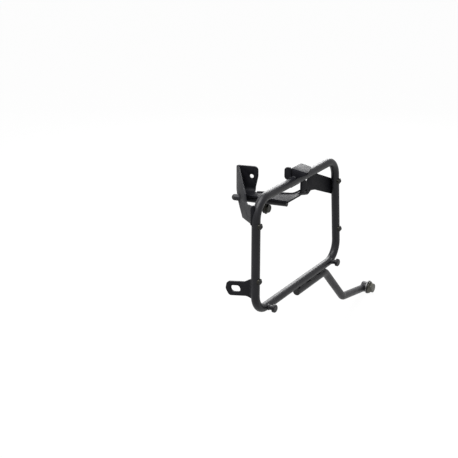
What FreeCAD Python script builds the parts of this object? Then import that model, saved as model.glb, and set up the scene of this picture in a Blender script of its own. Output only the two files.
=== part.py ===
import FreeCAD, Part
import math
import os

# Side rack for a motorcycle. X runs forward, Y inward to the bike, Z up. Sizes are in mm.
# Pieces are placed from the centre of the tube loop, then moved so the tail bolt hole is the origin.

# Loop of round tube
TUBE_D = 18.0
TUBE_WALL = 2.0
LOOP_LENGTH = 350.0
LOOP_HEIGHT = 240.0
LOOP_BEND_R = 40.0
FRONT_RAKE = 26.0
# Welded plates are let into the tubes by this much, so that they seat on a strip
WELD_SEAT = 0.3

# Folded stay: web behind the loop, ear, strap and tall tab
SHEET = 4.0
STAY_FOLD_R = 8.0
WEB_FRONT_LOW = 33.0
WEB_FRONT_TALL = 38.0
WEB_FRONT_LAP = 4.0
EAR_REAR = 27.0
EAR_FOLD_END = 50.0
EAR_FRONT = 84.0
EAR_DROP = 1.0
EAR_CORNER_R = 7.0
EAR_TOE_X = 55.0
EAR_TOE_DROP = 9.5
EAR_TOE_RISE = 5.0
EAR_TOE_R = 4.0
WEB_SHOULDER_RUN = 13.0
WEB_SHOULDER_RISE = 31.0
WEB_THROAT_X = 69.0
WEB_THROAT_DROP = 3.0
WEB_BEND_X = 88.0
WEB_BEND_DROP = 7.0
WEB_SWEEP_R = 9.0
FOLD_RELIEF = 1.0
EAR_HOLE_D = 14.0
EAR_HOLE_X = 51.0
EAR_HOLE_Z = 104.0
STRAP_TOP = 75.0
STRAP_OUTER_REAR = 56.0
STRAP_INNER_WIDTH = 28.0
STRAP_INNER_CUT = 6.0
STRAP_LIP = 4.0
STRAP_NECK = 6.0
STRAP_NECK_IN = 2.0
STRAP_NECK_R = 12.0
STRAP_CORNER_R = 4.0
STRAP_RIM = 2.0
TAB_ANGLE = 16.0
TAB_FOOT_X = -4.0
TAB_FOOT_Y = 103.0
TAB_FOOT_WIDTH = 27.0
TAB_OVERHANG = 5.1
TAB_TOP = 129.0
TAB_TOP_R = 9.0
TAB_WAIST_R = 12.0
TAB_HEEL_DROP = 7.0
TAB_HEEL_R = 6.0
TAB_HOLE_D = 9.0
TAB_HOLE_IN = 9.0
TAB_HOLE_Z = 107.0

# Cross tube under the strap
ARM_D = 14.0
ARM_WALL = 2.0
ARM_OUTER_X = -14.0
ARM_OUTER_Y = 22.0
ARM_ANGLE = 102.1
ARM_PAST_BRACE = 11.0
CAP_STEM = 10.0
CAP_RIM = 2.0

# Brace from the rear upright to the tall tab; its stations are shares of its length
BRACE_TIP_IN = 45.0
BRACE_TIP_AHEAD = 13.4
BRACE_ROOT_LOW = 69.0
BRACE_ROOT_HIGH = 111.0
BRACE_ROOT_RUN = 18.0
BRACE_ROOT_SAG = 3.0
BRACE_BELLY = 39.0
BRACE_BELLY_SHARE = 0.57
BRACE_HEEL_SHARE = 0.88
BRACE_HEEL_RISE = 13.0
BRACE_END_RISE = 30.0
BRACE_TIP_RUN = 15.0
BRACE_TIP_DROP = 6.0
BRACE_DIP = 87.0
BRACE_DIP_FROM_SHARE = 0.33
BRACE_DIP_TO_SHARE = 0.40
BRACE_SHOULDER_SHARE = 0.46
BRACE_SHOULDER_RISE = 12.0
BRACE_CREST_SHARE = 0.58
BRACE_CREST_RISE = 19.0
BRACE_SWEEP_R = 18.0
BRACE_HEEL_R = 10.0
BRACE_TIP_R = 2.5

# Bolt tab under the strap
BOLT_TAB_X = -11.0
BOLT_TAB_Y = 74.0
BOLT_TAB_WIDTH = 23.0
BOLT_Z = 43.0
BOLT_D = 8.0
BOLT_FLANGE_D = 25.0
BOLT_HEX = 17.0
BOLT_REACH = 14.0
BOLT_TIP = 1.0
BOLT_SLACK = 0.5
ARM_WASHER_D = 16.0
ARM_WASHER_T = 1.6
ARM_NUT_T = 6.4
# Corner radius of a rounded end, as a share of its half width
ROUND_END = 0.98
# Bolt heads, as shares of the bolt's diameter; the straight flats, as a share of the head's height
HEAD_SHARE = 0.65
FLANGE_SHARE = 0.25
FLATS_SHARE = 0.6

# Case hook on the top tube
HOOK_REAR = -23.0
HOOK_FRONT = 18.0
HOOK_RISE = 26.0
HOOK_DROP = 18.0
HOOK_SKEW = 14.0
HOOK_SKEW_FRONT = 11.2
HOOK_REACH_REAR = 49.0
HOOK_REACH_FRONT = 34.0
HOOK_NOSE = 13.0
HOOK_NOSE_DROP = 4.0
HOOK_NOSE_SLOPE = 6.0
HOOK_NOSE_R = 7.0
HOOK_FOLD_R = 4.0
HOOK_CORNER_R = 4.0
HOOK_GUSSET_LENGTH = 40.0
HOOK_GUSSET_TIP = 2.0

# Lower lug on the rear upright
LUG_THICK = 5.0
LUG_Z = -66.0
LUG_ANGLE = 11.0
LUG_LENGTH = 65.0
LUG_WIDTH = 30.0
LUG_ROOT = 40.0
LUG_FLARE_FROM = 2.0
LUG_FLARE_TO = 14.0
LUG_FLARE_R = 12.0
LUG_ROOT_R = 3.0
LUG_POINT = 6.0
LUG_TIP_R = 8.5
LUG_SLOT_LENGTH = 24.0
LUG_SLOT_WIDTH = 14.0
LUG_SLOT_FROM_END = 18.0

# Strut under the bottom rail
STRUT_REAR = 1.0
STRUT_BEND_R = 32.0
STRUT_KNEE_X = 130.5
STRUT_ANKLE = (243.5, 6.0, -245.0)
STRUT_END = (391.5, 18.0, -281.0)
STRUT_PLUG = 30.0
SLEEVE_D = 24.0
SLEEVE_RISE = 5.0
SLEEVE_OUT = 11.5
SLEEVE_IN = 3.0
STRUT_BOLT_D = 12.0
STRUT_BOLT_SHOULDER = 2.0
STRUT_BOLT_FLANGE_D = 30.0
STRUT_BOLT_HEX = 22.0
STRUT_BOLT_FREE = 3.0
STRUT_WASHER_D = 33.0
STRUT_WASHER_T = 3.0

# Case pins on the bottom rail
PIN_REAR_IN = 41.0
PIN_FRONT_IN = 37.0
PIN_FRONT_RISE = 1.5
PIN_STEM_D = 10.0
PIN_ROOT_D = 13.0
PIN_HEAD_D = 17.0
PIN_HEAD_T = 6.0
PIN_REACH = 25.0

# Rivet nuts and screws in the uprights
NUT_UPPER_Z = 69.0
NUT_LOWER_Z = -48.0
NUT_BODY_D = 9.0
NUT_FLANGE_D = 13.0
NUT_FLANGE_T = 2.0
NUT_DEPTH = 9.0
SCREW_D = 6.0
SCREW_HEAD_D = 11.0
SCREW_HEAD_T = 3.5
SCREW_LENGTH = 8.0
SOCKET_D = 4.0
SOCKET_DEPTH = 2.0

V = FreeCAD.Vector
EX = V(1, 0, 0)
EY = V(0, 1, 0)
EZ = V(0, 0, 1)
TUBE_R = TUBE_D / 2
REAR_X = -LOOP_LENGTH / 2
TOP_Z = LOOP_HEIGHT / 2
WEB_Y = TUBE_R - WELD_SEAT + SHEET / 2
STRAP_Z = STRAP_TOP - SHEET / 2
ARM_Z = STRAP_TOP - SHEET - ARM_D / 2 + WELD_SEAT
HOOK_TOP = TOP_Z + HOOK_RISE
HOOK_LOW = TOP_Z - HOOK_DROP
HOOK_NOSE_LOW = TOP_Z - HOOK_NOSE_DROP


def front_x(z):
    """Centre line of the raked front upright at height z."""
    return LOOP_LENGTH / 2 - FRONT_RAKE * z / LOOP_HEIGHT


def turned(degrees):
    """Level unit vector, turned from X toward Y."""
    angle = math.radians(degrees)
    return V(math.cos(angle), math.sin(angle), 0)


def unit(vector):
    return vector * (1.0 / vector.Length)


def rod(start, direction, radius, length):
    return Part.makeCylinder(radius, length, start, direction)


def hexagon(start, direction, across, length):
    """Hexagonal prism, sized across its flats."""
    side = unit(direction.cross(EX if abs(direction.x) < 0.9 else EY))
    other = direction.cross(side)
    reach = across / math.sqrt(3)
    angles = [math.radians(60 * i) for i in range(7)]
    corners = [start + (side * math.cos(a) + other * math.sin(a)) * reach for a in angles]
    return Part.Face(Part.makePolygon(corners)).extrude(direction * length)


def turned_hexagon(start, direction, across, length):
    """Hexagonal prism whose far corners are turned off in a lathe."""
    flats = length * FLATS_SHARE
    corner_r = across / math.sqrt(3)
    straight = rod(start, direction, corner_r, flats)
    crown = Part.makeCone(corner_r, across / 2, length - flats, start + direction * flats, direction)
    return hexagon(start, direction, across, length).common(straight.fuse(crown))


def outline(points, origin, u_dir, v_dir):
    """Closed wire through (u, v, corner radius) points."""
    corners = [V(u, v, 0) for u, v, radius in points]
    starts = []
    ends = []
    edges = []

    def place(p):
        return origin + u_dir * p.x + v_dir * p.y

    for i, corner in enumerate(corners):
        radius = points[i][2]
        back = unit(corners[i - 1] - corner)
        ahead = unit(corners[(i + 1) % len(corners)] - corner)
        half = back.getAngle(ahead) / 2
        setback = radius / math.tan(half)
        starts.append(corner + back * setback)
        ends.append(corner + ahead * setback)
        if radius > 0:
            inward = unit(back + ahead)
            nearest = corner + inward * (radius / math.sin(half) - radius)
            edges.append(Part.Arc(place(starts[i]), place(nearest), place(ends[i])).toShape())
    for i in range(len(corners)):
        following = (i + 1) % len(corners)
        edges.append(Part.makeLine(place(ends[i]), place(starts[following])))
    return Part.Wire(Part.sortEdges(edges)[0])


def plate(points, origin, u_dir, v_dir, thick):
    """Flat plate, half its thickness to each side of the plane."""
    normal = u_dir.cross(v_dir)
    base = origin - normal * (thick / 2)
    return Part.Face(outline(points, base, u_dir, v_dir)).extrude(normal * thick)


def fold(centre, along, length, inner_r, first_dir, second_dir):
    """Quarter turn of sheet round a line, from first_dir to second_dir."""
    outer_r = inner_r + SHEET
    middle = unit(first_dir + second_dir)
    outer = Part.Arc(centre + first_dir * outer_r, centre + middle * outer_r, centre + second_dir * outer_r)
    inner = Part.Arc(centre + second_dir * inner_r, centre + middle * inner_r, centre + first_dir * inner_r)
    edges = [
        outer.toShape(),
        Part.makeLine(centre + second_dir * outer_r, centre + second_dir * inner_r),
        inner.toShape(),
        Part.makeLine(centre + first_dir * inner_r, centre + first_dir * outer_r),
    ]
    return Part.Face(Part.Wire(edges)).extrude(along * length)


def disc(centre, direction, radius):
    return Part.Face(Part.Wire(Part.makeCircle(radius, centre, direction)))


def bent_bar(points, bend_r, radius, closed):
    """Round bar along straight runs that are joined by round bends."""
    count = len(points)
    run_starts = list(points)
    run_ends = [points[(i + 1) % count] for i in range(count)]
    pieces = []
    for i in range(count):
        if not closed and i in (0, count - 1):
            continue
        inward = unit(points[i] - points[i - 1])
        onward = unit(points[(i + 1) % count] - points[i])
        angle = inward.getAngle(onward)
        setback = bend_r * math.tan(angle / 2)
        axis = unit(inward.cross(onward))
        begin = points[i] - inward * setback
        hub = begin + axis.cross(inward) * bend_r
        pieces.append(disc(begin, inward, radius).revolve(hub, axis, math.degrees(angle)))
        run_ends[i - 1] = begin
        run_starts[i] = points[i] + onward * setback
    for i in range(count if closed else count - 1):
        run = run_ends[i] - run_starts[i]
        pieces.append(disc(run_starts[i], unit(run), radius).extrude(run))
    return pieces[0].multiFuse(pieces[1:]).removeSplitter()


def loop_points():
    return [
        V(REAR_X, 0, TOP_Z),
        V(REAR_X, 0, -TOP_Z),
        V(front_x(-TOP_Z), 0, -TOP_Z),
        V(front_x(TOP_Z), 0, TOP_Z),
    ]


def nut_places():
    """Name and axis point of each rivet nut on the outer side of the uprights."""
    places = {}
    for level, z in (("upper", NUT_UPPER_Z), ("lower", NUT_LOWER_Z)):
        places["rear_" + level] = V(REAR_X, -TUBE_R, z)
        places["front_" + level] = V(front_x(z), -TUBE_R, z)
    return places


def loop_envelope():
    return bent_bar(loop_points(), LOOP_BEND_R, TUBE_R, True)


def loop_tube(envelope):
    hollow = bent_bar(loop_points(), LOOP_BEND_R, TUBE_R - TUBE_WALL, True)
    holes = [rod(p - EY, EY, NUT_BODY_D / 2, TUBE_R) for p in nut_places().values()]
    return envelope.cut([hollow] + holes)


def rivet_nut(place, envelope):
    """Threaded insert: a flange on the tube and a body through its wall."""
    face = place - EY * NUT_FLANGE_T
    flange = rod(face, EY, NUT_FLANGE_D / 2, NUT_FLANGE_T + TUBE_R).cut(envelope)
    body = rod(face, EY, NUT_BODY_D / 2, NUT_FLANGE_T + NUT_DEPTH)
    return flange.fuse(body).cut(rod(face, EY, SCREW_D / 2, NUT_FLANGE_T + NUT_DEPTH)).removeSplitter()


def button_screw(place):
    """Round-headed screw with a hexagon socket."""
    seat = place - EY * NUT_FLANGE_T
    rim = SCREW_HEAD_D / 2
    crown_r = (rim ** 2 + SCREW_HEAD_T ** 2) / (2 * SCREW_HEAD_T)
    ball = Part.makeSphere(crown_r, seat + EY * (crown_r - SCREW_HEAD_T))
    head = ball.common(rod(seat - EY * SCREW_HEAD_T, EY, rim, SCREW_HEAD_T))
    shank = rod(seat, EY, SCREW_D / 2, SCREW_LENGTH)
    socket = hexagon(seat - EY * SCREW_HEAD_T, EY, SOCKET_D, SOCKET_DEPTH)
    return head.fuse(shank).cut(socket).removeSplitter()


def case_pin(x, rise, envelope):
    """Turned pin with a flared foot and a wide head, on the outer side of the bottom rail."""
    stem = PIN_STEM_D / 2
    head = PIN_HEAD_D / 2
    chamfer = PIN_HEAD_T / 4
    profile = [
        V(0, 0, 0),
        V(PIN_ROOT_D / 2, 0, 0),
        V(PIN_ROOT_D / 2, -TUBE_R, 0),
        V(stem, -TUBE_R - (PIN_ROOT_D - PIN_STEM_D), 0),
        V(stem, PIN_HEAD_T - PIN_REACH, 0),
        V(head, PIN_HEAD_T - PIN_REACH, 0),
        V(head, chamfer - PIN_REACH, 0),
        V(head - chamfer, -PIN_REACH, 0),
        V(0, -PIN_REACH, 0),
        V(0, 0, 0),
    ]
    turned_pin = Part.Face(Part.makePolygon(profile)).revolve(V(0, 0, 0), EY, 360)
    turned_pin.translate(V(x, 0, rise - TOP_Z))
    return turned_pin.cut(envelope)


def tab_frame():
    along = turned(90 + TAB_ANGLE)
    ahead = turned(TAB_ANGLE)
    return V(TAB_FOOT_X, TAB_FOOT_Y, 0), along, ahead


def brace_frame():
    """Root, level direction and length of the brace, which ends just past the tall tab."""
    foot, along, ahead = tab_frame()
    root = V(REAR_X, TUBE_R, 0)
    span = foot + along * BRACE_TIP_IN + ahead * BRACE_TIP_AHEAD - root
    return root, unit(span), span.Length


def meeting(start, direction, plane_point, plane_normal):
    """Point where a line meets a plane."""
    return start + direction * ((plane_point - start).dot(plane_normal) / direction.dot(plane_normal))


def arm_line():
    """Ends and direction of the cross tube, which runs on a little past the brace."""
    root, brace_along, length = brace_frame()
    outer = V(ARM_OUTER_X, ARM_OUTER_Y, ARM_Z)
    along = turned(ARM_ANGLE)
    inner = meeting(outer, along, root, EZ.cross(brace_along)) + along * ARM_PAST_BRACE
    return outer, inner, along


def arm_envelope():
    outer, inner, along = arm_line()
    return rod(outer, along, ARM_D / 2, (inner - outer).Length)


def arm_tube():
    outer, inner, along = arm_line()
    return arm_envelope().cut(rod(outer, along, ARM_D / 2 - ARM_WALL, (inner - outer).Length))


def end_cap(mouth, outward, outer_r, inner_r, domed):
    """Plug for a tube end: a stem inside the tube and a rim or dome outside."""
    stem = rod(mouth - outward * CAP_STEM, outward, inner_r, CAP_STEM)
    rim = rod(mouth, outward, outer_r, CAP_RIM)
    if domed:
        rim = Part.makeSphere(outer_r, mouth, outward, 0, 90, 360)
    return stem.fuse(rim).removeSplitter()


def brace_plate(envelope):
    """Flat plate with a waisted outline, bored for the cross tube."""
    root, along, length = brace_frame()
    points = [
        (-TUBE_R, BRACE_ROOT_LOW, 0),
        (BRACE_ROOT_RUN, BRACE_ROOT_LOW - BRACE_ROOT_SAG, BRACE_SWEEP_R),
        (length * BRACE_BELLY_SHARE, BRACE_BELLY, BRACE_SWEEP_R),
        (length * BRACE_HEEL_SHARE, BRACE_BELLY + BRACE_HEEL_RISE, BRACE_HEEL_R),
        (length, BRACE_BELLY + BRACE_END_RISE, BRACE_HEEL_R),
        (length, TAB_TOP - BRACE_TIP_DROP, BRACE_TIP_R),
        (length - BRACE_TIP_RUN, TAB_TOP, BRACE_TIP_R),
        (length * BRACE_CREST_SHARE, BRACE_DIP + BRACE_CREST_RISE, BRACE_SWEEP_R),
        (length * BRACE_SHOULDER_SHARE, BRACE_DIP + BRACE_SHOULDER_RISE, BRACE_HEEL_R),
        (length * BRACE_DIP_TO_SHARE, BRACE_DIP, BRACE_HEEL_R),
        (length * BRACE_DIP_FROM_SHARE, BRACE_DIP, BRACE_SWEEP_R),
        (-TUBE_R, BRACE_ROOT_HIGH, 0),
    ]
    sheet = plate(points, root, along, EZ, SHEET)
    return sheet.cut([envelope, arm_envelope()])


def beyond_brace():
    """The room inward of the brace, where the stay doesn't reach."""
    root, along, length = brace_frame()
    wall = [(0, 0, 0), (2 * length, 0, 0), (2 * length, 2 * TAB_TOP, 0), (0, 2 * TAB_TOP, 0)]
    return Part.Face(outline(wall, root, along, EZ)).extrude(EZ.cross(along) * length)


def tail_hole():
    foot, along, ahead = tab_frame()
    return foot + along * TAB_HOLE_IN + EZ * TAB_HOLE_Z


def stay_web():
    """Web behind the loop: diagonal arm to the front upright, and the ear under the top tube."""
    front_high = WEB_FRONT_LOW + WEB_FRONT_TALL
    ear_top = TOP_Z - EAR_DROP
    fold_z = STRAP_TOP + STAY_FOLD_R
    points = [
        (EAR_REAR, fold_z, 0),
        (EAR_REAR, ear_top, EAR_CORNER_R),
        (EAR_FRONT, ear_top, EAR_CORNER_R),
        (EAR_FRONT + WEB_SHOULDER_RUN, front_high + WEB_SHOULDER_RISE, WEB_SWEEP_R),
        (front_x(front_high) + WEB_FRONT_LAP, front_high, 0),
        (front_x(WEB_FRONT_LOW) + WEB_FRONT_LAP, WEB_FRONT_LOW, 0),
        (WEB_BEND_X, STRAP_TOP - WEB_BEND_DROP, WEB_SWEEP_R),
        (WEB_THROAT_X, STRAP_TOP - WEB_THROAT_DROP, WEB_SWEEP_R),
        (EAR_TOE_X, STRAP_TOP - EAR_TOE_DROP, EAR_TOE_R),
        (EAR_FOLD_END + FOLD_RELIEF, STRAP_TOP - EAR_TOE_DROP + EAR_TOE_RISE, FOLD_RELIEF),
        (EAR_FOLD_END, fold_z, 0),
    ]
    web = plate(points, EY * WEB_Y, EX, EZ, SHEET)
    hole_start = V(EAR_HOLE_X, WEB_Y - SHEET, EAR_HOLE_Z)
    return web.cut(rod(hole_start, EY, EAR_HOLE_D / 2, 2 * SHEET))


def strap_sheet():
    """Level strap from the ear to the tall tab, narrowing inward, with a low rim up its front edge."""
    foot, along, ahead = tab_frame()
    fold_y = WEB_Y + SHEET / 2 + STAY_FOLD_R
    lip_y = fold_y + STRAP_LIP
    tab_near = foot - ahead * (SHEET / 2 + STAY_FOLD_R)
    tab_far = tab_near + along * TAB_FOOT_WIDTH
    points = [
        (EAR_FOLD_END, fold_y, 0),
        (EAR_FOLD_END, lip_y, 0),
        (EAR_REAR - STRAP_NECK, lip_y + STRAP_NECK_IN, STRAP_NECK_R),
        (tab_near.x + STAY_FOLD_R / 2, tab_near.y - STRAP_LIP, 0),
        (tab_near.x, tab_near.y, 0),
        (tab_far.x, tab_far.y, 0),
        (tab_far.x - STRAP_INNER_WIDTH / 2, tab_far.y, 0),
        (tab_near.x - STRAP_INNER_WIDTH, tab_far.y - STRAP_INNER_CUT, 0),
        (EAR_REAR - STRAP_OUTER_REAR, WEB_Y, STRAP_CORNER_R),
        (EAR_REAR, WEB_Y, 0),
        (EAR_REAR, fold_y, 0),
    ]
    level = plate(points, EZ * STRAP_Z, EX, EY, SHEET)
    rim_start = V(EAR_REAR - STRAP_NECK, lip_y + STRAP_NECK_IN, 0)
    rim_end = V(tab_near.x + STAY_FOLD_R / 2, tab_near.y - STRAP_LIP, 0)
    rim_along = unit(rim_end - rim_start)
    rim_line = rim_start + rim_along.cross(EZ) * (-SHEET / 2)
    rim_top = STRAP_TOP + STRAP_RIM
    rim = plate([
        (STRAP_NECK_R / 2, STRAP_TOP - SHEET, 0),
        ((rim_end - rim_start).Length, STRAP_TOP - SHEET, 0),
        ((rim_end - rim_start).Length, rim_top, 0),
        (STRAP_NECK_R / 2, rim_top, STRAP_RIM / 2),
    ], rim_line, rim_along, EZ, SHEET)
    return level.fuse(rim)


def tall_tab():
    """Upright tab with the tail bolt hole, running inward as far as the brace."""
    foot, along, ahead = tab_frame()
    root, brace_along, length = brace_frame()
    inner_edge = (meeting(root, brace_along, foot, ahead) - foot).dot(along)
    fold_z = STRAP_TOP + STAY_FOLD_R
    points = [
        (0, fold_z, 0),
        (-TAB_OVERHANG, TAB_HOLE_Z, TAB_WAIST_R),
        (-TAB_OVERHANG, TAB_TOP, TAB_TOP_R),
        (inner_edge, TAB_TOP, 0),
        (inner_edge, TAB_HOLE_Z - TAB_HEEL_DROP, TAB_HEEL_R),
        (TAB_FOOT_WIDTH, fold_z, 0),
    ]
    tab = plate(points, foot, along, EZ, SHEET)
    return tab.cut(rod(tail_hole() - ahead * SHEET, ahead, TAB_HOLE_D / 2, 2 * SHEET))


def stay_plate(envelope, brace):
    """The stay as one folded sheet, seated on the tubes it is welded to."""
    foot, along, ahead = tab_frame()
    ear_hub = V(EAR_REAR, WEB_Y + SHEET / 2 + STAY_FOLD_R, STRAP_TOP + STAY_FOLD_R)
    ear_fold = fold(ear_hub, EX, EAR_FOLD_END - EAR_REAR, STAY_FOLD_R, EY * -1, EZ * -1)
    tab_hub = foot - ahead * (SHEET / 2 + STAY_FOLD_R) + EZ * (STRAP_TOP + STAY_FOLD_R)
    tab_fold = fold(tab_hub, along, TAB_FOOT_WIDTH, STAY_FOLD_R, ahead, EZ * -1)
    sheet = stay_web().multiFuse([ear_fold, strap_sheet(), tab_fold, tall_tab()]).removeSplitter()
    return sheet.cut([envelope, arm_envelope(), brace, beyond_brace()])


def bolt_axis():
    return V(BOLT_TAB_X, BOLT_TAB_Y, BOLT_Z)


def bolt_tab(stay):
    """Plate that hangs from the strap and straddles the cross tube."""
    half = BOLT_TAB_WIDTH / 2
    low = BOLT_Z - half
    points = [
        (-half, low, half * ROUND_END),
        (half, low, half * ROUND_END),
        (half, STRAP_TOP, 0),
        (-half, STRAP_TOP, 0),
    ]
    origin = V(BOLT_TAB_X, BOLT_TAB_Y, 0)
    hanger = plate(points, origin, EX, EZ, SHEET)
    bore = rod(bolt_axis() - EY * SHEET, EY, (BOLT_D + BOLT_SLACK) / 2, 2 * SHEET)
    above = Part.makeBox(4 * half, 4 * half, SHEET * 2, origin + V(-2 * half, -2 * half, STRAP_TOP - SHEET))
    return hanger.cut([arm_envelope(), bore, above, stay])


def flange_bolt(seat, inward, size, flange_d, across, reach, shoulder):
    """Hexagon flange bolt: the head stands outward from the seat and the shank runs inward."""
    flange_t = size * FLANGE_SHARE
    head_t = size * HEAD_SHARE
    outward = inward * -1
    under = seat + outward * shoulder
    pieces = [rod(under, outward, flange_d / 2, flange_t / 2)]
    if shoulder > 0:
        pieces.append(rod(seat, outward, across / 2, shoulder))
    pieces.append(Part.makeCone(flange_d / 2, across / 2, flange_t, under + outward * flange_t / 2, outward))
    pieces.append(turned_hexagon(under + outward * flange_t, outward, across, head_t))
    tip = seat + inward * (reach - BOLT_TIP)
    pieces.append(rod(seat, inward, size / 2, reach - BOLT_TIP))
    pieces.append(Part.makeCone(size / 2, size / 2 - BOLT_TIP, BOLT_TIP, tip, inward))
    return pieces[0].multiFuse(pieces[1:]).removeSplitter()


def washer(seat, direction, outer_d, hole_d, thick):
    return rod(seat, direction, outer_d / 2, thick).cut(rod(seat, direction, hole_d / 2, thick))


def hex_nut(seat, direction, across, hole_d, thick):
    return turned_hexagon(seat, direction, across, thick).cut(rod(seat, direction, hole_d / 2, thick))


def case_hook(envelope):
    """Folded hook: a back behind the top tube, a skewed tab over it, a gusset under one edge and a nose."""
    back_y = TUBE_R - WELD_SEAT + SHEET / 2
    fold_z = HOOK_TOP - SHEET - HOOK_FOLD_R
    under_tab = HOOK_TOP - SHEET
    tab_z = HOOK_TOP - SHEET / 2
    hub_y = back_y - SHEET / 2 - HOOK_FOLD_R
    back = plate([
        (HOOK_REAR, HOOK_LOW, HOOK_CORNER_R),
        (HOOK_FRONT, HOOK_LOW, HOOK_CORNER_R),
        (HOOK_FRONT, fold_z, 0),
        (HOOK_REAR, fold_z, 0),
    ], EY * back_y, EX, EZ, SHEET)
    nose = plate([
        (back_y, HOOK_NOSE_LOW, 0),
        (back_y + HOOK_NOSE, HOOK_NOSE_LOW + HOOK_NOSE_SLOPE, HOOK_NOSE_R),
        (back_y + HOOK_NOSE, HOOK_TOP, HOOK_NOSE_R),
        (back_y, HOOK_TOP, 0),
    ], EX * (HOOK_REAR + SHEET / 2), EY, EZ, SHEET)
    bend = fold(V(HOOK_REAR, hub_y, fold_z), EX, HOOK_FRONT - HOOK_REAR, HOOK_FOLD_R, EY, EZ)
    tab = plate([
        (HOOK_REAR, hub_y, 0),
        (HOOK_FRONT, hub_y, 0),
        (HOOK_FRONT - HOOK_SKEW_FRONT, back_y - HOOK_REACH_FRONT, HOOK_CORNER_R),
        (HOOK_REAR - HOOK_SKEW, back_y - HOOK_REACH_REAR, HOOK_CORNER_R),
    ], EZ * tab_z, EX, EY, SHEET)
    edge = unit(V(-HOOK_SKEW, back_y - HOOK_REACH_REAR - hub_y, 0))
    gusset = plate([
        (0, TOP_Z, 0),
        (HOOK_GUSSET_LENGTH, under_tab - HOOK_GUSSET_TIP, 0),
        (HOOK_GUSSET_LENGTH, under_tab, 0),
        (0, under_tab, 0),
    ], V(HOOK_REAR + SHEET / 2, hub_y, 0), edge, EZ, SHEET)
    return back.multiFuse([bend, tab, gusset, nose]).removeSplitter().cut(envelope)


def lower_lug(envelope):
    """Plate with a slot, drooping a little inward, its root flared where it meets the upright."""
    half = LUG_WIDTH / 2
    root = LUG_ROOT / 2
    out = V(0, math.cos(math.radians(LUG_ANGLE)), -math.sin(math.radians(LUG_ANGLE)))
    up = EX.cross(out)
    points = [
        (0, -root, 0),
        (TUBE_R + LUG_FLARE_FROM, -root, LUG_ROOT_R),
        (TUBE_R + LUG_FLARE_TO, -half, LUG_FLARE_R),
        (LUG_LENGTH, -half, LUG_TIP_R),
        (LUG_LENGTH + LUG_POINT, 0, LUG_TIP_R),
        (LUG_LENGTH, half, LUG_TIP_R),
        (TUBE_R + LUG_FLARE_TO, half, LUG_FLARE_R),
        (TUBE_R + LUG_FLARE_FROM, root, LUG_ROOT_R),
        (0, root, 0),
    ]
    origin = V(REAR_X, 0, LUG_Z)
    lug = plate(points, origin, out, up, LUG_THICK)
    end = LUG_LENGTH - LUG_SLOT_FROM_END + LUG_SLOT_LENGTH / 2
    corner = LUG_SLOT_WIDTH / 2 * ROUND_END
    slot = plate([
        (end - LUG_SLOT_LENGTH, -LUG_SLOT_WIDTH / 2, corner),
        (end, -LUG_SLOT_WIDTH / 2, corner),
        (end, LUG_SLOT_WIDTH / 2, corner),
        (end - LUG_SLOT_LENGTH, LUG_SLOT_WIDTH / 2, corner),
    ], origin, out, up, 2 * LUG_THICK)
    return lug.cut([slot, envelope])


def strut_points():
    z = -TOP_Z - TUBE_D + WELD_SEAT
    return [V(STRUT_REAR, 0, z), V(STRUT_KNEE_X, 0, z), V(*STRUT_ANKLE), V(*STRUT_END)]


def sleeve_face():
    """Centre of the sleeve's outer end, a little above the strut it is welded to."""
    return V(*STRUT_END) - EY * SLEEVE_OUT + EZ * SLEEVE_RISE


def sleeve_envelope():
    return rod(sleeve_face(), EY, SLEEVE_D / 2, SLEEVE_OUT + SLEEVE_IN)


def strut_bolt_path():
    """Clearance for the strut bolt, right through the sleeve and the tube beside it."""
    return rod(sleeve_face(), EY, (STRUT_BOLT_D + BOLT_SLACK) / 2, SLEEVE_OUT + TUBE_D)


def strut_tube(envelope):
    """Bent tube, plugged where it is welded to the sleeve."""
    outside = bent_bar(strut_points(), STRUT_BEND_R, TUBE_R, False)
    plugged = strut_points()
    plugged[-1] = plugged[-1] + unit(plugged[-2] - plugged[-1]) * STRUT_PLUG
    hollow = bent_bar(plugged, STRUT_BEND_R, TUBE_R - TUBE_WALL, False)
    return outside.cut([hollow, envelope, sleeve_envelope(), strut_bolt_path()])


def strut_sleeve():
    return sleeve_envelope().cut(strut_bolt_path())


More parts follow.
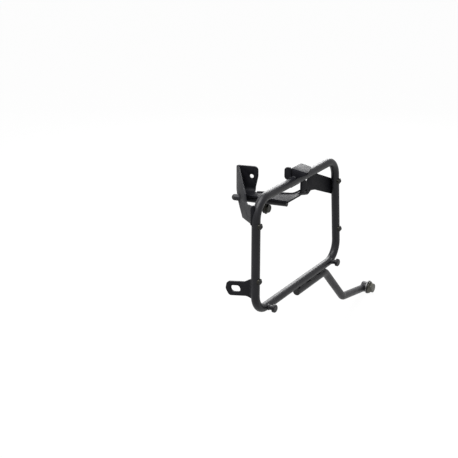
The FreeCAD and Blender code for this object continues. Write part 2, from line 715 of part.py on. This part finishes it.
def build():
    envelope = loop_envelope()
    brace = brace_plate(envelope)
    stay = stay_plate(envelope, brace)
    nodes = {
        "loop_tube": loop_tube(envelope),
        "stay_plate": stay,
        "brace_plate": brace,
        "case_hook": case_hook(envelope),
        "lower_lug": lower_lug(envelope),
        "arm_tube": arm_tube(),
        "bolt_tab": bolt_tab(stay),
        "strut_tube": strut_tube(envelope),
        "strut_sleeve": strut_sleeve(),
        "case_pin_rear": case_pin(REAR_X + PIN_REAR_IN, 0, envelope),
        "case_pin_front": case_pin(front_x(-TOP_Z) - PIN_FRONT_IN, PIN_FRONT_RISE, envelope),
    }
    outer, inner, along = arm_line()
    arm_inner_r = ARM_D / 2 - ARM_WALL
    nodes["arm_cap_outer"] = end_cap(outer, along * -1, ARM_D / 2, arm_inner_r, False).cut(stay)
    nodes["arm_cap_inner"] = end_cap(inner, along, ARM_D / 2, arm_inner_r, True)
    nodes["strut_cap"] = end_cap(strut_points()[0], EX * -1, TUBE_R, TUBE_R - TUBE_WALL, False).cut(envelope)
    tab_face = bolt_axis() - EY * SHEET / 2
    nut_face = bolt_axis() + EY * SHEET / 2
    nodes["arm_bolt"] = flange_bolt(tab_face, EY, BOLT_D, BOLT_FLANGE_D, BOLT_HEX, SHEET + BOLT_REACH, 0)
    nodes["arm_washer"] = washer(nut_face, EY, ARM_WASHER_D, BOLT_D + BOLT_SLACK, ARM_WASHER_T)
    nodes["arm_nut"] = hex_nut(nut_face + EY * ARM_WASHER_T, EY, BOLT_HEX, BOLT_D, ARM_NUT_T)
    head_face = sleeve_face() - EY * STRUT_WASHER_T
    strut_reach = STRUT_WASHER_T + SLEEVE_OUT + SLEEVE_IN + STRUT_BOLT_FREE
    nodes["strut_washer"] = washer(head_face, EY, STRUT_WASHER_D, STRUT_BOLT_D + BOLT_SLACK, STRUT_WASHER_T)
    nodes["strut_bolt"] = flange_bolt(
        head_face, EY, STRUT_BOLT_D, STRUT_BOLT_FLANGE_D, STRUT_BOLT_HEX, strut_reach, STRUT_BOLT_SHOULDER)
    for name, place in nut_places().items():
        nodes["rivet_nut_" + name] = rivet_nut(place, envelope)
        nodes["case_screw_" + name] = button_screw(place)
    return nodes


os.makedirs("parts", exist_ok=True)
for node, shape in build().items():
    shape.translate(tail_hole() * -1)
    shape.exportStep("parts/" + node + ".step")
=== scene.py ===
import math

import bpy
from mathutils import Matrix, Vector


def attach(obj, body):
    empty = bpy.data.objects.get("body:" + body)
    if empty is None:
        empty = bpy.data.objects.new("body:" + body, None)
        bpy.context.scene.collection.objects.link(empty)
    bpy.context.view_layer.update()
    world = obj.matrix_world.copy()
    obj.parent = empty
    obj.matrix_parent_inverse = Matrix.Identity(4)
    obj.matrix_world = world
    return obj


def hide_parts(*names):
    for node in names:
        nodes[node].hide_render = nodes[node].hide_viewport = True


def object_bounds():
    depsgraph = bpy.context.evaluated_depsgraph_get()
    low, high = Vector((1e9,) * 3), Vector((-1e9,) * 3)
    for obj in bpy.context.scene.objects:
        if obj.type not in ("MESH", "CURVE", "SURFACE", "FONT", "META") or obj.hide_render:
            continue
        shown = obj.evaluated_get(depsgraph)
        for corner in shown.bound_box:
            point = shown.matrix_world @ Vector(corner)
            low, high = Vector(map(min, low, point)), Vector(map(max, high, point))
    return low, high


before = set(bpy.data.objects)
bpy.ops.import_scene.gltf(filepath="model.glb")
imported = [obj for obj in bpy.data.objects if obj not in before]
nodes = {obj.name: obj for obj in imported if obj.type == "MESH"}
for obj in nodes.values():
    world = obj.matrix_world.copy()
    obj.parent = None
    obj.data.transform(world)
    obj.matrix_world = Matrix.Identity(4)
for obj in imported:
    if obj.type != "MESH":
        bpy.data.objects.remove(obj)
cad_box = [list(corner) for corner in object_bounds()]
bpy.context.scene.view_settings.view_transform = "Standard"

# Tube loop: round steel tube bent to a four-cornered frame and closed by a weld.
# It is powder coated in satin black after all the plates are welded on.
COAT_BLACK = (0.0040, 0.0040, 0.0056, 1)
COAT_BLACK_PALE = (0.0068, 0.0068, 0.0088, 1)
COAT_ROUGHNESS = (0.38, 0.48)
COAT_GLOSS = 0.25
COAT_GRAIN = (1400, 0.00012)


def surface_finish(name, dark, pale, roughness, gloss, metallic, grain):
    """Baked coat, plating or plastic: a little cloudy in shade and gloss, with a fine grain.

    The roughness runs between two values, and the grain has a scale and a height."""
    material = bpy.data.materials.new(name)
    material.use_nodes = True
    tree = material.node_tree
    shader = tree.nodes["Principled BSDF"]
    shader.inputs["Specular IOR Level"].default_value = gloss
    shader.inputs["Metallic"].default_value = metallic
    place = tree.nodes.new("ShaderNodeTexCoord")
    cloud = tree.nodes.new("ShaderNodeTexNoise")
    cloud.inputs["Scale"].default_value = 38
    cloud.inputs["Detail"].default_value = 3
    shade = tree.nodes.new("ShaderNodeValToRGB")
    shade.color_ramp.elements[0].position = 0.35
    shade.color_ramp.elements[0].color = dark
    shade.color_ramp.elements[1].position = 0.7
    shade.color_ramp.elements[1].color = pale
    polish = tree.nodes.new("ShaderNodeMapRange")
    polish.inputs["From Min"].default_value = 0.3
    polish.inputs["From Max"].default_value = 0.7
    polish.inputs["To Min"].default_value = roughness[0]
    polish.inputs["To Max"].default_value = roughness[1]
    grit = tree.nodes.new("ShaderNodeTexNoise")
    grit.inputs["Scale"].default_value = grain[0]
    grit.inputs["Detail"].default_value = 2
    relief = tree.nodes.new("ShaderNodeBump")
    relief.inputs["Strength"].default_value = 0.35
    relief.inputs["Distance"].default_value = grain[1]
    link = tree.links.new
    link(place.outputs["Object"], cloud.inputs["Vector"])
    link(place.outputs["Object"], grit.inputs["Vector"])
    link(cloud.outputs["Fac"], shade.inputs["Fac"])
    link(cloud.outputs["Fac"], polish.inputs["Value"])
    link(shade.outputs["Color"], shader.inputs["Base Color"])
    link(polish.outputs["Result"], shader.inputs["Roughness"])
    link(grit.outputs["Fac"], relief.inputs["Height"])
    link(relief.outputs["Normal"], shader.inputs["Normal"])
    return material


def dress(piece, material):
    """Gives a piece one material all over."""
    piece.data.materials.clear()
    piece.data.materials.append(material)


satin_black = surface_finish(
    "satin_black_coat", COAT_BLACK, COAT_BLACK_PALE,
    roughness=COAT_ROUGHNESS, gloss=COAT_GLOSS, metallic=0, grain=COAT_GRAIN)
dress(nodes["loop_tube"], satin_black)

# Folded stay: one 4 mm steel sheet, cut to shape and folded twice, with an ear under the top tube
# and a tall tab for the tail bolt. It is welded behind the front upright and the top tube,
# the corner at the ear's toe is filled with weld, and a low rim runs round the strap's neck.
EDGE_ROUND = 0.0007
PLATE_ROUGHNESS = (0.54, 0.64)
PLATE_GLOSS = 0.1
WELD_ROUGHNESS = (0.42, 0.55)
WELD_GRAIN = (900, 0.0002)
WELD_WIDE = 0.0021
WELD_PLAIN = 0.0019
WELD_TOE = 0.003
LOOP_CENTRE = Vector((0.006481, -0.111651, -0.107))
LOOP_HEIGHT = 240
UPRIGHT_X = 175
UPRIGHT_RAKE = 26
UPRIGHT_SEAM_AHEAD = 5
UPRIGHT_SEAM_Y = 9.6
UPRIGHT_SEAM_Z = (36, 68)
EAR_SEAM = ((33, 10.6, 119.8), (78, 10.6, 119.8))
TOE_SEAM_LOW = ((28.5, 12.6, 74.2), (55, 11, 68.4))
TOE_SEAM_HIGH = ((40, 13, 75.4), (54, 11.4, 73))
NECK_RIM_R = 0.0014
NECK_RIM_Z = 75.6
NECK_RIM_LINE = ((48, 23.4), (28.1, 24.9), (21.4, 27.4), (17.2, 32.6), (15.6, 36.4))


def softened(name, node, width):
    """A copy of a cut plate with its sharp edges eased, as they are under the coat."""
    bpy.ops.object.select_all(action="DESELECT")
    piece = bpy.data.objects.new(name, nodes[node].data.copy())
    piece.data.name = name
    bpy.context.scene.collection.objects.link(piece)
    piece.select_set(True)
    bpy.context.view_layer.objects.active = piece
    bpy.ops.mesh.customdata_custom_splitnormals_clear()
    bpy.ops.object.mode_set(mode="EDIT")
    bpy.ops.mesh.select_all(action="SELECT")
    bpy.ops.mesh.remove_doubles(threshold=0.000002)
    bpy.ops.mesh.dissolve_limited(angle_limit=math.radians(0.5))
    bpy.ops.object.mode_set(mode="OBJECT")
    if width > 0:
        ease = piece.modifiers.new("eased_edges", "BEVEL")
        ease.width = width
        ease.segments = 2
        ease.limit_method = "ANGLE"
        ease.angle_limit = math.radians(40)
        bpy.ops.object.modifier_apply(modifier=ease.name)
    bpy.ops.object.shade_smooth_by_angle(angle=math.radians(38))
    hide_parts(node)
    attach(piece, "root")
    return piece


def at(x, y, z):
    """A place in mm from the loop's centre, in the shared frame."""
    return LOOP_CENTRE + Vector((x, y, z)) / 1000


def weld_bead(name, seam, radius, material):
    """A row of overlapping drops run together, as a weld pool leaves them.

    The seam's places are in mm from the loop's centre, and the radius is in metres."""
    path = [at(*place) for place in seam]
    step = radius * 0.95
    drops = [path[0]]
    for start, end in zip(path, path[1:]):
        count = max(1, round((end - start).length / step))
        drops += [start.lerp(end, i / count) for i in range(1, count + 1)]
    bpy.ops.object.select_all(action="DESELECT")
    bpy.ops.mesh.primitive_uv_sphere_add(segments=12, ring_count=8, radius=radius, location=drops[0])
    bead = bpy.context.object
    bead.name = name
    bead.data.name = name
    bpy.ops.object.transform_apply(location=True, rotation=True, scale=True)
    bpy.ops.object.mode_set(mode="EDIT")
    for drop in drops[1:]:
        bpy.ops.mesh.primitive_uv_sphere_add(segments=12, ring_count=8, radius=radius, location=drop)
    bpy.ops.object.mode_set(mode="OBJECT")
    pool = bead.modifiers.new("run_together", "REMESH")
    pool.mode = "VOXEL"
    pool.voxel_size = radius * 0.3
    bpy.ops.object.modifier_apply(modifier=pool.name)
    settle = bead.modifiers.new("settle", "SMOOTH")
    settle.factor = 0.5
    settle.iterations = 2
    bpy.ops.object.modifier_apply(modifier=settle.name)
    bpy.ops.object.shade_smooth()
    dress(bead, material)
    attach(bead, "root")


def upright_x(z):
    """The raked front upright's centre line, in mm."""
    return UPRIGHT_X - UPRIGHT_RAKE * z / LOOP_HEIGHT


weld_black = surface_finish(
    "coat_over_weld", COAT_BLACK, COAT_BLACK_PALE,
    roughness=WELD_ROUGHNESS, gloss=COAT_GLOSS, metallic=0, grain=WELD_GRAIN)
plate_black = surface_finish(
    "coat_on_plates", COAT_BLACK, COAT_BLACK_PALE,
    roughness=PLATE_ROUGHNESS, gloss=PLATE_GLOSS, metallic=0, grain=COAT_GRAIN)
stay = softened("stay_sheet", "stay_plate", EDGE_ROUND)
dress(stay, plate_black)
upright_seam = [(upright_x(z) + UPRIGHT_SEAM_AHEAD, UPRIGHT_SEAM_Y, z) for z in UPRIGHT_SEAM_Z]
neck_rim = [(x, y, NECK_RIM_Z) for x, y in NECK_RIM_LINE]
weld_bead("weld_stay_upright", upright_seam, WELD_WIDE, weld_black)
weld_bead("weld_stay_ear", EAR_SEAM, WELD_PLAIN, weld_black)
weld_bead("weld_stay_toe_low", TOE_SEAM_LOW, WELD_TOE, weld_black)
weld_bead("weld_stay_toe_high", TOE_SEAM_HIGH, WELD_TOE, weld_black)
weld_bead("stay_neck_rim", neck_rim, NECK_RIM_R, plate_black)

# Cross tube: a short length of thinner tube welded under the strap, which ties the stay to the brace.
# Its ends are closed with pushed-in black plastic caps.
CAP_BLACK = (0.010, 0.010, 0.010, 1)
CAP_BLACK_PALE = (0.015, 0.015, 0.015, 1)
ARM_OUTER = Vector((-14, 22, 64.3))
ARM_TURN = math.radians(102.1)
ARM_ALONG = Vector((math.cos(ARM_TURN), math.sin(ARM_TURN), 0))
ARM_SIDE = Vector((ARM_ALONG.y, -ARM_ALONG.x, 0))
ARM_VALLEY = 4.4
ARM_SEAM_Z = 70.2
ARM_STITCHES = ((8, 36), (66, 90))

dress(nodes["arm_tube"], satin_black)
cap_plastic = surface_finish(
    "cap_plastic", CAP_BLACK, CAP_BLACK_PALE,
    roughness=(0.5, 0.62), gloss=0.3, metallic=0, grain=(700, 0.0001))
for cap in ("arm_cap_outer", "arm_cap_inner"):
    dress(nodes[cap], cap_plastic)
for run, stitch in enumerate(ARM_STITCHES):
    for side_name, side in (("front", 1), ("rear", -1)):
        seam = []
        for distance in stitch:
            spot = ARM_OUTER + ARM_ALONG * distance + ARM_SIDE * (side * ARM_VALLEY)
            seam.append((spot.x, spot.y, ARM_SEAM_Z))
        weld_bead("weld_arm_%s_%d" % (side_name, run), seam, WELD_PLAIN, weld_black)

# Brace: a flat steel plate with a waisted outline from the rear upright to the tall tab.
# The cross tube passes through it, and it is welded at both ends and round the tube.
BRACE_ROOT = Vector((-175, 9, 0))
BRACE_FACE = Vector((-0.6348, 0.7727, 0))
BRACE_SEAM_FRONT = ((-171.5, 9.0, 72), (-171.5, 9.0, 107))
BRACE_SEAM_REAR = ((-180.2, 8.2, 72), (-180.2, 8.2, 107))
BRACE_SEAM_TAB = ((-16.4, 136.2, 103), (-16.4, 136.2, 123))
BRACE_SEAM_LIFT = 2.3
ARM_RIM_R = 7.3
RIM_STEP = 15
WELD_SLIM = 0.0016

brace = softened("brace_sheet", "brace_plate", EDGE_ROUND)
dress(brace, plate_black)
weld_bead("weld_brace_root_front", BRACE_SEAM_FRONT, WELD_WIDE, weld_black)
weld_bead("weld_brace_root_rear", BRACE_SEAM_REAR, WELD_PLAIN, weld_black)
weld_bead("weld_brace_tab", BRACE_SEAM_TAB, WELD_PLAIN, weld_black)
for side_name, lift in (("outer", -BRACE_SEAM_LIFT), ("inner", BRACE_SEAM_LIFT)):
    seam = []
    for degrees in range(0, 361, RIM_STEP):
        turn = math.radians(degrees)
        rim = ARM_OUTER + (ARM_SIDE * math.cos(turn) + Vector((0, 0, math.sin(turn)))) * ARM_RIM_R
        slide = (lift - (rim - BRACE_ROOT).dot(BRACE_FACE)) / ARM_ALONG.dot(BRACE_FACE)
        seam.append(rim + ARM_ALONG * slide)
    weld_bead("weld_brace_arm_" + side_name, seam, WELD_SLIM, weld_black)

# Bolt tab: a small round-ended plate that hangs from the strap beside the cross tube.
# A dark flange bolt goes through it, with a plain bright zinc washer and nut behind.
ZINC_DARK = (0.016, 0.016, 0.013, 1)
ZINC_DARK_PALE = (0.032, 0.031, 0.026, 1)
ZINC_BRIGHT = (0.12, 0.12, 0.12, 1)
ZINC_BRIGHT_PALE = (0.22, 0.22, 0.22, 1)
BOLT_AXIS = (-11, 74, 43)
THREAD_START_Y = 84.2
THREAD_CORE = 0.84
THREAD_PITCH = 0.00125
THREAD_TURNS = 4
HANGER_SEAM_X = (-15, -2)
HANGER_SEAM_Y = (71.2, 76.8)
HANGER_SEAM_Z = 70.3
WELD_SMALL = 0.0017


def threaded(name, node, start, centre, core, pitch, turns):
    """A copy of a bolt whose free end is turned down to the thread's core, with a helical ridge round it."""
    piece = softened(name, node, 0)
    axis = at(*centre)
    start_y = at(0, start, 0).y
    bolt_r = max((Vector((v.co.x, 0, v.co.z)) - Vector((axis.x, 0, axis.z))).length
                 for v in piece.data.vertices if v.co.y > start_y)
    bpy.ops.object.mode_set(mode="EDIT")
    bpy.ops.mesh.select_mode(type="VERT")
    bpy.ops.mesh.select_all(action="DESELECT")
    bpy.ops.object.mode_set(mode="OBJECT")
    for vertex in piece.data.vertices:
        vertex.select = vertex.co.y > start_y
    bpy.ops.object.mode_set(mode="EDIT")
    bpy.ops.transform.resize(value=(core, 1, core), center_override=axis)
    bpy.ops.object.mode_set(mode="OBJECT")
    bpy.ops.object.select_all(action="DESELECT")
    ridge_r = pitch * 0.42
    bpy.ops.mesh.primitive_circle_add(vertices=6, radius=ridge_r, location=(bolt_r - ridge_r, 0, 0))
    ridge = bpy.context.object
    ridge.name = name + "_ridge"
    bpy.ops.object.transform_apply(location=True, rotation=True, scale=True)
    wind = ridge.modifiers.new("wind", "SCREW")
    wind.axis = "Y"
    wind.screw_offset = pitch
    wind.iterations = turns
    wind.steps = 28
    wind.render_steps = 28
    bpy.ops.object.modifier_apply(modifier=wind.name)
    ridge.location = (axis.x, start_y + ridge_r, axis.z)
    bpy.ops.object.transform_apply(location=True, rotation=True, scale=True)
    bpy.ops.object.mode_set(mode="EDIT")
    bpy.ops.mesh.select_all(action="SELECT")
    bpy.ops.mesh.normals_make_consistent(inside=False)
    bpy.ops.object.mode_set(mode="OBJECT")
    bpy.ops.object.shade_smooth()
    piece.select_set(True)
    bpy.context.view_layer.objects.active = piece
    bpy.ops.object.join()
    return piece


zinc_dark = surface_finish(
    "dark_zinc_plate", ZINC_DARK, ZINC_DARK_PALE,
    roughness=(0.32, 0.45), gloss=0.5, metallic=0.85, grain=(1800, 0.00006))
zinc_bright = surface_finish(
    "bright_zinc_plate", ZINC_BRIGHT, ZINC_BRIGHT_PALE,
    roughness=(0.5, 0.62), gloss=0.5, metallic=1, grain=(1600, 0.00006))
hanger = softened("bolt_hanger", "bolt_tab", EDGE_ROUND)
dress(hanger, plate_black)
arm_bolt = threaded(
    "arm_bolt_threaded", "arm_bolt", THREAD_START_Y, BOLT_AXIS, THREAD_CORE, THREAD_PITCH, THREAD_TURNS)
dress(arm_bolt, zinc_dark)
dress(nodes["arm_washer"], zinc_bright)
dress(nodes["arm_nut"], zinc_bright)
for side_name, y in zip(("outer", "inner"), HANGER_SEAM_Y):
    seam = [(x, y, HANGER_SEAM_Z) for x in HANGER_SEAM_X]
    weld_bead("weld_hanger_" + side_name, seam, WELD_SMALL, weld_black)

# Case hook: a folded sheet hook over the top tube, which a side case hangs on.
# Its back is welded behind the tube, and a gusset under one edge stands on the tube.
GUSSET_START = Vector((-21, 4.7, 0))
GUSSET_ALONG = Vector((-0.3096, -0.9509, 0))
GUSSET_OUT = Vector((-0.9509, 0.3096, 0))
GUSSET_FACE = 2.5
GUSSET_SEAM_FROM = 0.5
GUSSET_SEAM_STEP = 1.2
GUSSET_SEAM_PLACES = 9
TOP_TUBE_Z = 120
LOOP_TUBE_R = 9
SEAM_LIFT = 0.2
HOOK_SEAM_X = (-23.4, 18.4)
HOOK_SEAM_Y = 9.0
HOOK_SEAM_Z = (114, 125)
WELD_HOOK = 0.0018

hook = softened("hook_sheet", "case_hook", EDGE_ROUND)
dress(hook, plate_black)
foot_seam = []
for i in range(GUSSET_SEAM_PLACES):
    along = GUSSET_ALONG * (GUSSET_SEAM_FROM + GUSSET_SEAM_STEP * i)
    spot = GUSSET_START + along + GUSSET_OUT * GUSSET_FACE
    rise = math.sqrt(LOOP_TUBE_R ** 2 - spot.y ** 2)
    foot_seam.append((spot.x, spot.y, TOP_TUBE_Z + SEAM_LIFT + rise))
weld_bead("weld_hook_gusset", foot_seam, WELD_SLIM, weld_black)
for end_name, x in zip(("rear", "front"), HOOK_SEAM_X):
    seam = [(x, HOOK_SEAM_Y, z) for z in HOOK_SEAM_Z]
    weld_bead("weld_hook_" + end_name, seam, WELD_HOOK, weld_black)

# Lower lug: a thick plate with a slot for an adjustable bolt.
# Its flared root is welded to the inner side of the rear upright, along both faces.
LUG_SEAM_X = (-178.3, -171.7)
LUG_SEAM_Y = 8.9
LUG_SEAM_Z = (-85, -47)

lug = softened("lug_sheet", "lower_lug", EDGE_ROUND)
dress(lug, plate_black)
for side_name, x in zip(("rear", "front"), LUG_SEAM_X):
    seam = [(x, LUG_SEAM_Y, z) for z in LUG_SEAM_Z]
    weld_bead("weld_lug_" + side_name, seam, WELD_WIDE, weld_black)

# Strut: tube of the loop's size, bent twice and stitch welded under the bottom rail.
# Its open end has a plastic cap, and its lower end carries a welded sleeve.
STRUT_END = Vector((391.5, 18, -281))
STRUT_ALONG = Vector((148, 12, -36)).normalized()
STRUT_STITCHES = ((6, 32), (54, 82), (100, 124))
STRUT_SEAM_Y = 4.7
STRUT_SEAM_Z = -128.85
STRUT_RIM_R = 9.1
SLEEVE_X = 391.5
SLEEVE_Z = -276
SLEEVE_R = 12
SLEEVE_SEAM_TURN = 105

dress(nodes["strut_tube"], satin_black)
dress(nodes["strut_sleeve"], satin_black)
dress(nodes["strut_cap"], cap_plastic)
for side_name, y in (("outer", -STRUT_SEAM_Y), ("inner", STRUT_SEAM_Y)):
    for run, stitch in enumerate(STRUT_STITCHES):
        seam = [(x, y, STRUT_SEAM_Z) for x in stitch]
        weld_bead("weld_strut_%s_%d" % (side_name, run), seam, WELD_WIDE, weld_black)
strut_side = STRUT_ALONG.cross(Vector((0, 0, 1))).normalized()
strut_up = strut_side.cross(STRUT_ALONG)
sleeve_seam = []
for degrees in range(-SLEEVE_SEAM_TURN, SLEEVE_SEAM_TURN + 1, RIM_STEP):
    turn = math.radians(degrees)
    rim = STRUT_END + (strut_side * math.cos(turn) + strut_up * math.sin(turn)) * STRUT_RIM_R
    across = rim.z - SLEEVE_Z
    reach = math.sqrt(max(0, (SLEEVE_R + SEAM_LIFT) ** 2 - across ** 2))
    slide = (SLEEVE_X - reach - rim.x) / STRUT_ALONG.x
    sleeve_seam.append(rim + STRUT_ALONG * slide)
weld_bead("weld_strut_sleeve", sleeve_seam, WELD_SMALL, weld_black)

# Strut bolt: a flange bolt in grey zinc with a bright zinc washer, through the sleeve.
# Its tip just passes the sleeve, and it screws into the bike.
ZINC_GREY = (0.035, 0.035, 0.030, 1)
ZINC_GREY_PALE = (0.115, 0.115, 0.100, 1)

zinc_grey = surface_finish(
    "grey_zinc_plate", ZINC_GREY, ZINC_GREY_PALE,
    roughness=(0.30, 0.45), gloss=0.5, metallic=0.9, grain=(1800, 0.00008))
dress(nodes["strut_washer"], zinc_bright)
dress(nodes["strut_bolt"], zinc_grey)

# Case pins: turned steel pins with a wide head, welded to the outer side of the bottom rail.
# They are coated with the frame.
for pin in ("case_pin_rear", "case_pin_front"):
    dress(nodes[pin], satin_black)

# Rivet nuts and screws: threaded inserts set in the outer side of both uprights.
# Each is closed with a blackened button-head screw.
SCREW_BLACK = (0.016, 0.016, 0.016, 1)
SCREW_BLACK_PALE = (0.028, 0.028, 0.028, 1)

screw_black = surface_finish(
    "blackened_steel", SCREW_BLACK, SCREW_BLACK_PALE,
    roughness=(0.3, 0.42), gloss=0.5, metallic=0.6, grain=(1800, 0.00005))
for end in ("rear", "front"):
    for level in ("upper", "lower"):
        dress(nodes["rivet_nut_%s_%s" % (end, level)], zinc_dark)
        dress(nodes["case_screw_%s_%s" % (end, level)], screw_black)

# Floor: plain white studio paper under the rack, which keeps a faint soft shadow.
# It shows as white to the camera and in the reflections.
FLOOR_HALF = 30
FLOOR_WHITE = (0.9, 0.9, 0.9, 1)
FLOOR_GLOW = 0.965


def background_rays(tree):
    """An output that is 1 for camera, glossy and transmission rays, and 0 for the light itself."""
    rays = tree.nodes.new("ShaderNodeLightPath")
    seen = tree.nodes.new("ShaderNodeMath")
    seen.operation = "MAXIMUM"
    through = tree.nodes.new("ShaderNodeMath")
    through.operation = "MAXIMUM"
    tree.links.new(rays.outputs["Is Camera Ray"], seen.inputs[0])
    tree.links.new(rays.outputs["Is Glossy Ray"], seen.inputs[1])
    tree.links.new(seen.outputs["Value"], through.inputs[0])
    tree.links.new(rays.outputs["Is Transmission Ray"], through.inputs[1])
    return through.outputs["Value"]


bpy.ops.object.select_all(action="DESELECT")
bpy.ops.mesh.primitive_plane_add(size=2 * FLOOR_HALF, location=(0, 0, cad_box[0][2]))
floor = bpy.context.object
floor.name = "floor"
bpy.ops.object.transform_apply(location=True, rotation=True, scale=True)
paper = bpy.data.materials.new("white_paper")
paper.use_nodes = True
tree = paper.node_tree
tree.nodes.remove(tree.nodes["Principled BSDF"])
matt = tree.nodes.new("ShaderNodeBsdfDiffuse")
matt.inputs["Color"].default_value = FLOOR_WHITE
glow = tree.nodes.new("ShaderNodeEmission")
share = tree.nodes.new("ShaderNodeMath")
share.operation = "MULTIPLY"
share.inputs[1].default_value = FLOOR_GLOW
blend = tree.nodes.new("ShaderNodeMixShader")
tree.links.new(background_rays(tree), share.inputs[0])
tree.links.new(share.outputs["Value"], blend.inputs["Fac"])
tree.links.new(matt.outputs["BSDF"], blend.inputs[1])
tree.links.new(glow.outputs["Emission"], blend.inputs[2])
tree.links.new(blend.outputs["Shader"], tree.nodes["Material Output"].inputs["Surface"])
dress(floor, paper)

# Light: a white room, dimmer as light than as background, with a large soft lamp above
# and a wide soft box behind the rack that draws the sheen on its upper faces.
ROOM_LIGHT = 0.45
TOP_LAMP = (Vector((-0.6, 0.2, 1.4)), 1.2, 50)
BACK_BOX = (Vector((1.45, 0.85, 0.85)), 1.1, 35)

world = bpy.data.worlds.new("white_room")
bpy.context.scene.world = world
world.use_nodes = True
tree = world.node_tree
room = tree.nodes["Background"]
room.inputs["Color"].default_value = (1, 1, 1, 1)
room_level = tree.nodes.new("ShaderNodeMapRange")
room_level.inputs["To Min"].default_value = ROOM_LIGHT
room_level.inputs["To Max"].default_value = 1
tree.links.new(background_rays(tree), room_level.inputs["Value"])
tree.links.new(room_level.outputs["Result"], room.inputs["Strength"])
for lamp_name, (spot, size, power) in (("top_lamp", TOP_LAMP), ("back_box", BACK_BOX)):
    bpy.ops.object.light_add(type="AREA", location=LOOP_CENTRE + spot)
    lamp = bpy.context.object
    lamp.name = lamp_name
    lamp.data.size = size
    lamp.data.energy = power
    lamp.rotation_euler = (spot * -1).to_track_quat("-Z", "Y").to_euler()
    lamp.visible_camera = False

# Camera: at the photograph's viewing angle, with a long lens and no shift.
# It stands a little over two metres from the rack and looks down on it.
CAMERA_PLACE = Vector((-1.74322, -1.04655, 0.648))
CAMERA_AIM = Vector((0.7901, 0.5005, -0.3538))
CAMERA_LENS = 78.6
CAMERA_SENSOR = 36
CAMERA_FAR = 200

bpy.ops.object.camera_add(location=CAMERA_PLACE)
camera = bpy.context.object
camera.rotation_euler = CAMERA_AIM.to_track_quat("-Z", "Y").to_euler()
camera.data.sensor_width = CAMERA_SENSOR
camera.data.lens = CAMERA_LENS
camera.data.clip_end = CAMERA_FAR
bpy.context.scene.camera = camera
